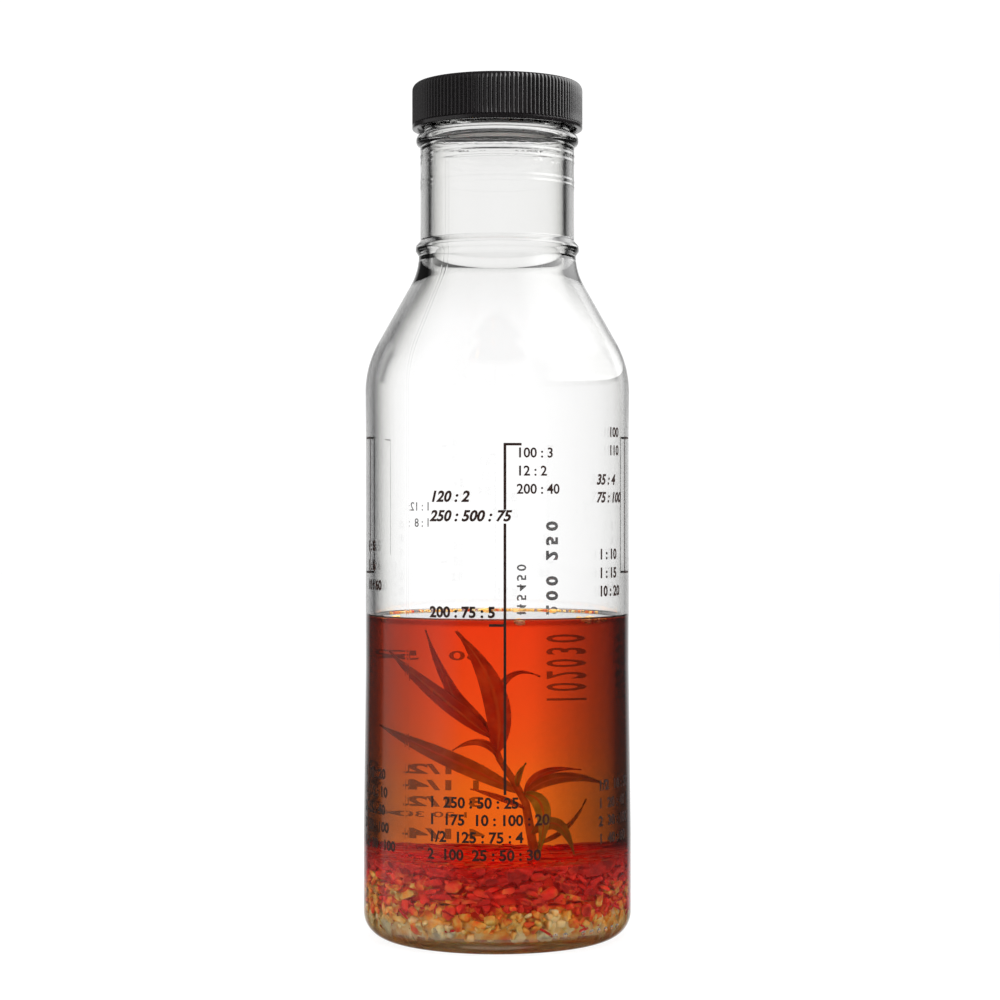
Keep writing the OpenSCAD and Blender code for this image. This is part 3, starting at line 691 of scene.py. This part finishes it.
def makeChips():
    bm = bmesh.new()
    bm.verts.layers.float.new("tint")
    roof = liquid["level"] + 0.8
    for direction, inset, turn in chips["places"]:
        a = math.radians(direction)
        r = cavityRadius - chips["length"] * inset
        point = Vector((r * math.cos(a), r * math.sin(a), liquid["level"] - chips["thick"] / 4))
        size = (chips["length"], chips["length"] * 0.7, chips["thick"])
        addCrumb(bm, point, size, (0.14, 0.21, math.radians(turn) + a), chance.uniform(0.12, 0.3), innerFloor, roof)
    for i in range(chips["crumbs"]):
        a = math.radians(chance.choice((38, 62, 88, 95, 121, 147)) + chance.gauss(0, 9))
        r = cavityRadius - chance.uniform(0.3, 1.8)
        point = Vector((r * math.cos(a), r * math.sin(a), liquid["level"] + 0.1))
        length = chance.uniform(0.5, 1.5)
        addCrumb(bm, point, (length, length * 0.6, 0.4), (0, 0, chance.uniform(0, 6)), chance.uniform(0.05, 0.6),
                 innerFloor, roof)
    makePiece("floatingChips", bm, bitMaterial("floatingGarlicChip", 0.35), "bottle",
              ["floating_chips"], 60)


makeChips()

# Herb sprig: the stem's points and each leaf's base, bend, tip and width, in millimetres
sprig = {
    "stemRadius": 0.9, "thick": 0.28, "columns": 4, "rows": 16, "slim": 0.86,
    "green": {4: 0.45, 7: 0.3, 9: 0.9, 10: 1.0, 12: 0.5, 13: 0.7},
    "stem": [(6.6, -6, 20.4), (5.8, -6, 26), (4.9, -6, 33), (2.6, -6, 38.5), (0.4, -6, 43), (-0.8, -6, 47.5),
             (-1.6, -6, 51.5)],
    "leaves": [
        ((-0.2, -6, 44), (2.5, -8, 59), (-7.4, -8, 73), 5.4), ((-1.2, -6, 49), (-8.5, -5, 56), (-12.3, -3, 73), 2.6),
        ((-1, -6, 48), (-10, -9, 58), (-22.6, -12, 68.5), 4.2), ((-1.3, -5, 50), (-8, -7, 54), (-9.5, -8, 64), 4.6),
        ((4.2, -6, 35), (-9, -2, 44), (-22.3, -4, 50.5), 4.4), ((0.2, -6, 43.4), (-2, -10, 50), (-8.5, -12, 45.5), 2),
        ((-1.5, -6, 50.5), (0.5, -3, 67), (7, -1, 62), 1.6), ((4.6, -6, 34.5), (10, -8, 42), (22.3, -11, 37), 3),
        ((4.8, -6, 34), (6, -4, 42), (14, -1, 40), 2.2), ((3.5, -6, 36.5), (3.4, -8, 40), (5.3, -9, 42.4), 1.4),
        ((4.4, -6, 35), (10.5, -10, 35), (7.6, -11, 21.5), 3.4), ((5.2, -6, 31.5), (0, -9, 35), (-5, -11, 36.6), 1.6),
        ((6.2, -6, 23.5), (12, -3, 24), (15, -1, 33), 1.4), ((5.9, -6, 25.5), (12, -12, 33), (15, -13, 21.5), 3.4)],
}


# Steeped tarragon-like leaf: olive brown, paler along the midrib, with fine side veins and blotches
def steepedLeaf():
    material, tree, shader = newMaterial("steepedHerbLeaf", {
        "Roughness": 0.45, "IOR": 1.45, "Specular IOR Level": 0.06, "Alpha": 0.82})
    across = addNode(tree, "ShaderNodeAttribute", {"attribute_name": "across"})
    along = addNode(tree, "ShaderNodeAttribute", {"attribute_name": "along"})
    place = addNode(tree, "ShaderNodeTexCoord")
    blotch = addNode(tree, "ShaderNodeTexNoise", {"Scale": 1 / (4 * mm), "Detail": 4.0}, {"Vector": place.outputs["Object"]})
    steeped = addNode(tree, "ShaderNodeValToRGB", {"stops": [(0.3, "#A0442E"), (0.5, "#AA5634"), (0.7, "#B87042")]},
                      {"Fac": blotch.outputs["Fac"]})
    fresh = addNode(tree, "ShaderNodeValToRGB", {"stops": [(0.3, "#7C8A3E"), (0.5, "#8C9C4C"), (0.7, "#A8B060")]},
                    {"Fac": blotch.outputs["Fac"]})
    green = addNode(tree, "ShaderNodeAttribute", {"attribute_name": "green"})
    tone = addNode(tree, "ShaderNodeMix", {"data_type": "RGBA"}, {
        0: green.outputs["Fac"], 6: steeped.outputs["Color"], 7: fresh.outputs["Color"]})
    away = addNode(tree, "ShaderNodeMath", {"operation": "ABSOLUTE"}, {0: across.outputs["Fac"]})
    rib = addNode(tree, "ShaderNodeMapRange", {"From Min": 0.05, "From Max": 0.22, "To Min": 1.0, "To Max": 0.0},
                  {"Value": away.outputs[0]})
    slant = addNode(tree, "ShaderNodeMath", {"operation": "MULTIPLY_ADD", 1: -0.12}, {0: away.outputs[0], 2: along.outputs["Fac"]})
    wave = addNode(tree, "ShaderNodeMath", {"operation": "MULTIPLY", 1: 75.0}, {0: slant.outputs[0]})
    veins = addNode(tree, "ShaderNodeMath", {"operation": "SINE"}, {0: wave.outputs[0]})
    relief = addNode(tree, "ShaderNodeMath", {"operation": "MULTIPLY_ADD", 1: 0.25}, {0: veins.outputs[0], 2: rib.outputs["Result"]})
    mix = addNode(tree, "ShaderNodeMix", {"data_type": "RGBA"}, {"Factor": rib.outputs["Result"]})
    tree.links.new(tone.outputs[2], mix.inputs[6])
    mix.inputs[7].default_value = linearColour("#B47848")
    tree.links.new(mix.outputs[2], shader.inputs["Base Color"])
    bump = addNode(tree, "ShaderNodeBump", {"Strength": 0.6, "Distance": 0.1 * mm}, {"Height": relief.outputs[0]})
    tree.links.new(bump.outputs[0], shader.inputs["Normal"])
    return material


def addLeaf(bm, start, bend, tip, width, green):
    grid = bmesh.ops.create_grid(bm, x_segments=sprig["columns"], y_segments=sprig["rows"], size=0.5)
    across = bm.verts.layers.float["across"]
    along = bm.verts.layers.float["along"]
    freshness = bm.verts.layers.float["green"]
    start, bend, tip = Vector(start), Vector(bend), Vector(tip)
    for vert in grid["verts"]:
        s = vert.co.x * 2
        t = vert.co.y + 0.5
        middle = start * (1 - t) ** 2 + bend * 2 * t * (1 - t) + tip * t ** 2
        heading = ((bend - start) * (1 - t) + (tip - bend) * t).normalized()
        side = heading.cross(Vector((0, 1, 0))).normalized()
        up = heading.cross(side)
        half = width / 2 * sprig["slim"] * max(0.12, math.sin(math.pi * t ** 0.75) ** 0.9)
        ripple = 0.25 * s * s + 0.12 * math.sin(9 * t + 2 * s)
        point = middle + side * half * s + up * ripple
        vert.co = point * mm
        vert[across] = s
        vert[along] = t
        vert[freshness] = green


def makeSprig():
    curve = bpy.data.curves.new("stem", "CURVE")
    curve.dimensions = "3D"
    curve.bevel_depth = sprig["stemRadius"] * mm
    curve.bevel_resolution = 3
    curve.use_fill_caps = True
    spline = curve.splines.new("POLY")
    spline.points.add(len(sprig["stem"]) - 1)
    for i, (point, place) in enumerate(zip(spline.points, sprig["stem"])):
        point.co = (place[0] * mm, place[1] * mm, place[2] * mm, 1)
        point.radius = 1 - 0.45 * i / (len(sprig["stem"]) - 1)
    maker = bpy.data.objects.new("stem", curve)
    stem = bpy.data.meshes.new_from_object(maker)
    bm = bmesh.new()
    bm.verts.layers.float.new("across")
    bm.verts.layers.float.new("along")
    bm.verts.layers.float.new("green")
    for i, leaf in enumerate(sprig["leaves"]):
        addLeaf(bm, *leaf, sprig["green"].get(i, 0.0))
    bmesh.ops.recalc_face_normals(bm, faces=bm.faces)
    bmesh.ops.solidify(bm, geom=bm.faces[:], thickness=sprig["thick"] * mm)
    leafVerts = len(bm.verts)
    bm.from_mesh(stem)
    bm.verts.ensure_lookup_table()
    for vert in bm.verts[leafVerts:]:
        vert[bm.verts.layers.float["across"]] = 0.6
        vert[bm.verts.layers.float["green"]] = 0.25
    bmesh.ops.recalc_face_normals(bm, faces=bm.faces)
    bpy.data.objects.remove(maker)
    makePiece("herbSprig", bm, steepedLeaf(), "bottle", ["herb_sprig"], 60)


makeSprig()

# Cap, in millimetres
cap = {
    "radius": 20.25, "height": 11, "top": 1.5, "edge": 1.8, "ribs": 120, "perRib": 6, "grooveDepth": 0.34,
    "rimBand": 1.2, "root": 18.9, "threadHeight": 1.2, "threadWidth": 1.5, "threadCrest": 0.6, "liner": 1.0,
    "linerBead": 0.5, "turns": 1.05,
}
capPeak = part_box("cap_shell")[1].z / mm
capRim = capPeak - cap["height"]


# radius over the ribs at an angle round the axis
def ribRadius(angle):
    wave = 0.5 + 0.5 * math.cos(cap["ribs"] * angle)
    return cap["radius"] - cap["grooveDepth"] * wave ** 1.6


# Black polypropylene, injection moulded: satin, with a fine spark-eroded grain on the top
def blackPolypropylene():
    material, tree, shader = newMaterial("blackMouldedPolypropylene", {
        "Roughness": 0.3, "IOR": 1.49, "Specular IOR Level": 0.8})
    place = addNode(tree, "ShaderNodeTexCoord")
    grain = addNode(tree, "ShaderNodeTexNoise", {"Scale": 1 / (0.35 * mm), "Detail": 3.0}, {"Vector": place.outputs["Object"]})
    tone = addNode(tree, "ShaderNodeValToRGB", {"stops": [(0.3, "#0E0C0D"), (0.7, "#181617")]}, {"Fac": grain.outputs["Fac"]})
    tree.links.new(tone.outputs["Color"], shader.inputs["Base Color"])
    rough = addNode(tree, "ShaderNodeMapRange", {"To Min": 0.12, "To Max": 0.26}, {"Value": grain.outputs["Fac"]})
    tree.links.new(rough.outputs["Result"], shader.inputs["Roughness"])
    bump = addNode(tree, "ShaderNodeBump", {"Strength": 0.2, "Distance": 0.02 * mm}, {"Height": grain.outputs["Fac"]})
    tree.links.new(bump.outputs[0], shader.inputs["Normal"])
    return material


# section of the cap from the rim over the top, and back down the inside
def capOutline():
    bandTop = capRim + cap["rimBand"]
    roof = capPeak - cap["top"]
    beadZ = roof - cap["liner"] - 0.2
    beadIn = cap["root"] - cap["linerBead"]
    wallTop = beadZ - 2 * cap["linerBead"]
    rim = [(cap["radius"] - 0.3, capRim), (cap["radius"] - 0.08, capRim + 0.1), (cap["radius"], capRim + 0.3),
           (cap["radius"], bandTop - 0.3), (cap["radius"] - 0.24, bandTop - 0.04), (cap["radius"] - 0.27, bandTop)]
    edge = arcPoints(cap["radius"] - cap["edge"], capPeak - cap["edge"], cap["edge"], 0, 90, 8)
    gate = [(1.6, capPeak), (1.4, capPeak - 0.15), (0, capPeak - 0.15)]
    inside = [(0, roof), (cap["root"], roof), (cap["root"], beadZ), (beadIn, beadZ), (beadIn, beadZ - cap["linerBead"]),
              (cap["root"], wallTop)]
    wall = refine([(cap["root"], wallTop), (cap["root"], capRim + 0.3)], 0.35)
    return (rim + refine([(cap["radius"], bandTop + 0.02), edge[0]], 2.5) + edge[1:] + refine([edge[-1], gate[0]], 6)[1:] + gate[1:],
            inside + wall[1:] + [(cap["root"] + 0.3, capRim), (cap["radius"] - 0.3, capRim)])


# depth of the cap's own helical ridge at a point of its inner wall
def capThreadLift(x, y, z):
    lowest = glass["height"] - glass["threadDrop"] - glass["threadWidth"] / 2 - glass["turns"] * glass["pitch"]
    lean = (glass["threadWidth"] - glass["threadCrest"]) / 2 / (glass["threadRadius"] - glass["finishRadius"])
    shift = glass["threadWidth"] / 2 - lean * 0.3 + cap["threadCrest"] / 2 + 0.15
    start = 360 * (capRim + 0.4 + cap["threadWidth"] / 2 - lowest + shift) / glass["pitch"]
    around = math.degrees(math.atan2(y, x)) % 360
    best = 0
    for turn in range(3):
        angle = around + 360 * turn
        if not start < angle < start + 360 * cap["turns"]:
            continue
        away = abs(z - (lowest - shift + glass["pitch"] * angle / 360))
        flank = (cap["threadWidth"] - cap["threadCrest"]) / 2
        share = min(1, max(0, (cap["threadWidth"] / 2 - away) / flank))
        runout = min(1, (angle - start) / 30, (start + 360 * cap["turns"] - angle) / 30)
        best = max(best, share * max(0, runout))
    return best * cap["threadHeight"]


def makeCap():
    outside, inside = capOutline()
    bm = spinProfile(outside + inside, cap["ribs"] * cap["perRib"])
    bandTop = capRim + cap["rimBand"]
    for vert in bm.verts:
        x, y, z = vert.co / mm
        r = math.hypot(x, y)
        if r > cap["radius"] - cap["edge"] and z > bandTop + 0.01:
            fade = min(1, max(0, (capPeak - z) / cap["edge"])) ** 0.6
            grow = 1 - (cap["radius"] - ribRadius(math.atan2(y, x))) * fade / r
        elif abs(r - cap["root"]) < 0.01 and z < capPeak - cap["top"] - cap["liner"] - 0.5:
            grow = 1 - capThreadLift(x, y, z) / r
        else:
            continue
        vert.co.x *= grow
        vert.co.y *= grow
    makePiece("screwCap", bm, blackPolypropylene(), "cap", ["cap_shell"], 35)


makeCap()

# Liner: a disc of white foamed polyethylene in the cap's roof
liner = {"radius": 18.75, "low": 199.9, "high": 200.9, "soft": 0.12}


def foamedPolyethylene():
    material, tree, shader = newMaterial("whiteFoamedPolyethylene", {"Roughness": 0.6, "IOR": 1.5, "Specular IOR Level": 0.3})
    place = addNode(tree, "ShaderNodeTexCoord")
    cells = addNode(tree, "ShaderNodeTexVoronoi", {"Scale": 1 / (0.3 * mm)}, {"Vector": place.outputs["Object"]})
    tone = addNode(tree, "ShaderNodeValToRGB", {"stops": [(0.0, "#DAD9D3"), (0.6, "#E9E8E4")]}, {"Fac": cells.outputs["Distance"]})
    tree.links.new(tone.outputs["Color"], shader.inputs["Base Color"])
    bump = addNode(tree, "ShaderNodeBump", {"Strength": 0.4, "Distance": 0.04 * mm}, {"Height": cells.outputs["Distance"]})
    tree.links.new(bump.outputs[0], shader.inputs["Normal"])
    return material


def makeLiner():
    soft = liner["soft"]
    lower = arcPoints(liner["radius"] - soft, liner["low"] + soft, soft, -90, 0, 3)
    upper = arcPoints(liner["radius"] - soft, liner["high"] - soft, soft, 0, 90, 3)
    bm = spinProfile(refine([(0, liner["low"]), lower[0]], 5) + lower[1:] + upper + refine([upper[-1], (0, liner["high"])], 5)[1:], 96)
    makePiece("capLiner", bm, foamedPolyethylene(), "liner", ["cap_liner"], 40)


makeLiner()

# Print: lines and plain numbers fired on the outside of the glass, in millimetres
# across is the distance round the wall from the middle of the front
halfway = math.pi * glass["panelRadius"]
ink = {
    "lift": 0.02, "thick": 0.04, "line": 0.58,
    # across, height, width and height of each bar
    "bars": [
        (1.75, 108.7, 0.62, 15.0), (1.75, 67.5, 0.62, 61.2), (3.5, 116.0, 4.1, 0.58), (0.1, 75.1, 3.9, 0.6),
        (-39.3, 102.3, 0.5, 32), (-41.6, 118, 5, 0.5), (-41.6, 86.5, 5, 0.5),
        (39.5, 102.3, 0.5, 32), (41.8, 118, 5, 0.5), (41.8, 86.5, 5, 0.5),
        (halfway + 34.4, 104, 0.14, 28), (halfway + 36, 118, 3.4, 0.3)],
    # across, height, size, text, slant and weight of each row, which starts at that place
    "rows": [
        (4.4, 114.0, 2.3, "100 : 3", 0, 0.06), (4.4, 109.9, 2.3, "12 : 2", 0, 0.06), (4.4, 105.8, 2.3, "200 : 40", 0, 0.06),
        (-16.0, 104.1, 2.5, "120 : 2", 0.25, 0.12), (-16.0, 99.7, 2.5, "250 : 500 : 75", 0.25, 0.12),
        (-16.0, 77.9, 2.5, "200 : 75 : 5", 0, 0.12),
        (-16.0, 34.9, 2.5, "1  250 : 50 : 25", 0, 0.1), (-16.0, 31.0, 2.5, "1  175  10 : 100 : 20", 0, 0.1),
        (-16.0, 27.1, 2.5, "1/2  125 : 75 : 4", 0, 0.1), (-16.3, 23.1, 2.5, "2  100  25 : 50 : 30", 0, 0.1),
        (30.4, 119.0, 2.3, "100", 0, 0.1), (30.4, 114.8, 2.3, "110", 0, 0.1),
        (25.5, 108.0, 2.4, "35 : 4", 0.25, 0.12), (25.5, 103.9, 2.4, "75 : 100", 0.25, 0.12),
        (26.5, 90.8, 2.4, "1 : 10", 0, 0.12), (26.5, 86.5, 2.4, "1 : 15", 0, 0.12), (26.5, 82.3, 2.4, "10 : 20", 0, 0.12),
        (25.8, 37.7, 2.3, "1/2  10 : 50", 0, 0.12), (25.8, 33.6, 2.3, "1  20 : 40", 0, 0.12),
        (25.8, 29.5, 2.3, "2  30 : 100", 0, 0.12), (25.8, 25.4, 2.3, "1  40 : 60", 0, 0.12),
        (-41.0, 92.6, 2.3, "1 : 5", 0, 0.14), (-41.0, 88.1, 2.3, "1 : 6", 0, 0.14), (-41.0, 83.5, 2.3, "10 : 60", 0, 0.14),
        (-42.0, 39.9, 2.3, "1  10 : 20", 0, 0.14), (-42.0, 35.8, 2.3, "1/2  5 : 10", 0, 0.14),
        (-42.0, 31.7, 2.3, "2  15 : 40", 0, 0.14), (-42.0, 27.7, 2.3, "3  20 : 100", 0, 0.14),
        (-42.0, 23.7, 2.3, "1/2  30 : 100", 0, 0.14),
        (halfway + 18.5, 101.7, 2.2, "1 : 12", 0, 0.02), (halfway + 18.5, 97.7, 2.2, "1 : 8", 0, 0.02),
        (halfway + 1.6, 65.5, 2.3, "50 : 50", 0, 0.06),
        (halfway + 1.3, 37.6, 2.4, "2 1/2  30", 0, 0.11), (halfway + 1.3, 33.7, 2.4, "1 1/4  15", 0, 0.11),
        (halfway + 1.3, 29.7, 2.4, "3 1/2  50", 0, 0.11), (halfway + 2.6, 26.6, 1.4, "1 20 300 10", 0, 0.02),
        (halfway + 1.3, 21.9, 2.4, "4 1/4  10", 0, 0.11)],
    # across, height of the middle, size, text, spacing and weight of each row that runs up the back
    "turned": [
        (halfway - 14.6, 79.6, 3.3, "150 200 250", 1.62, 0.2), (halfway - 6.2, 81.5, 2.5, "45450", 1.45, 0.06),
        (halfway - 6.1, 62.2, 3.1, "102030", 1.42, 0.07)],
}


# dark brown glass enamel, satin, a little uneven where the screen left it thin
def firedEnamel():
    material, tree, shader = newMaterial("darkBrownFiredEnamel", {"Roughness": 0.4, "IOR": 1.5, "Specular IOR Level": 0.4})
    place = addNode(tree, "ShaderNodeTexCoord")
    thin = addNode(tree, "ShaderNodeTexNoise", {"Scale": 1 / (0.5 * mm), "Detail": 2.0}, {"Vector": place.outputs["Object"]})
    tone = addNode(tree, "ShaderNodeValToRGB", {"stops": [(0.35, "#20110D"), (0.75, "#33201A")]}, {"Fac": thin.outputs["Fac"]})
    tree.links.new(tone.outputs["Color"], shader.inputs["Base Color"])
    # painted light: seen from inside the bottle the coat is made partly see-through, most where dressing lies behind
    # it, standing in for the dressing's glow over the print
    surface = addNode(tree, "ShaderNodeNewGeometry")
    flat = addNode(tree, "ShaderNodeVectorMath", {"operation": "MULTIPLY", 1: (1, 1, 0)}, {0: place.outputs["Object"]})
    outward = addNode(tree, "ShaderNodeVectorMath", {"operation": "DOT_PRODUCT"}, {
        0: surface.outputs["Incoming"], 1: flat.outputs["Vector"]})
    fromInside = addNode(tree, "ShaderNodeMath", {"operation": "LESS_THAN", 1: 0.0}, {0: outward.outputs["Value"]})
    axes = addNode(tree, "ShaderNodeSeparateXYZ", {}, {"Vector": place.outputs["Object"]})
    dry = addNode(tree, "ShaderNodeMapRange", {"From Min": 75 * mm, "From Max": 77 * mm, "To Min": 0.42, "To Max": 0.85},
                  {"Value": axes.outputs["Z"]})
    cover = addNode(tree, "ShaderNodeMix", {"data_type": "FLOAT", 2: 1.0}, {0: fromInside.outputs[0], 3: dry.outputs["Result"]})
    tree.links.new(cover.outputs[0], shader.inputs["Alpha"])
    bump = addNode(tree, "ShaderNodeBump", {"Strength": 0.3, "Distance": 0.01 * mm}, {"Height": thin.outputs["Fac"]})
    tree.links.new(bump.outputs[0], shader.inputs["Normal"])
    return material


# a flat bar as a grid fine enough to bend
def addBar(bm, across, z, width, height):
    cuts = max(1, math.ceil(width / 0.8))
    rows = max(1, math.ceil(height / 4))
    grid = bmesh.ops.create_grid(bm, x_segments=cuts, y_segments=rows, size=0.5)
    for vert in grid["verts"]:
        vert.co = Vector((across + width * vert.co.x, z + height * vert.co.y, 0))


def addNumber(bm, text, across, z, size, weight, slant=0, turn=0, spacing=1.0):
    curve = bpy.data.curves.new("number", "FONT")
    curve.body = text
    curve.size = size * 1.37
    curve.align_x = "CENTER" if turn else "LEFT"
    curve.align_y = "CENTER"
    curve.resolution_u = 3
    curve.offset = weight
    curve.shear = slant
    curve.space_character = spacing
    maker = bpy.data.objects.new("number", curve)
    mesh = bpy.data.meshes.new_from_object(maker)
    mesh.transform(Matrix.Translation((across, z, 0)) @ Matrix.Rotation(math.radians(turn), 4, "Z"))
    bm.from_mesh(mesh)
    bpy.data.objects.remove(maker)
    bpy.data.meshes.remove(mesh)


def makePrint():
    bm = bmesh.new()
    for bar in ink["bars"]:
        addBar(bm, *bar)
    for across, z, size, text, slant, weight in ink["rows"]:
        addNumber(bm, text, across, z, size, weight, slant)
    for across, z, size, text, spacing, weight in ink["turned"]:
        addNumber(bm, text, across, z, size, weight, 0, 90, spacing)
    for vert in bm.verts:
        across, z = vert.co.x, vert.co.y
        r = bodyRadius(z) + ink["lift"]
        angle = across / glass["panelRadius"]
        vert.co = Vector((r * math.sin(angle), -r * math.cos(angle), z)) * mm
    bmesh.ops.remove_doubles(bm, verts=bm.verts, dist=1e-6)
    bm.normal_update()
    for face in bm.faces:
        outwards = face.calc_center_median()
        if face.normal.x * outwards.x + face.normal.y * outwards.y < 0:
            face.normal_flip()
    bmesh.ops.solidify(bm, geom=bm.faces[:], thickness=ink["thick"] * mm)
    makePiece("firedPrint", bm, firedEnamel(), "bottle", None, 30)


makePrint()
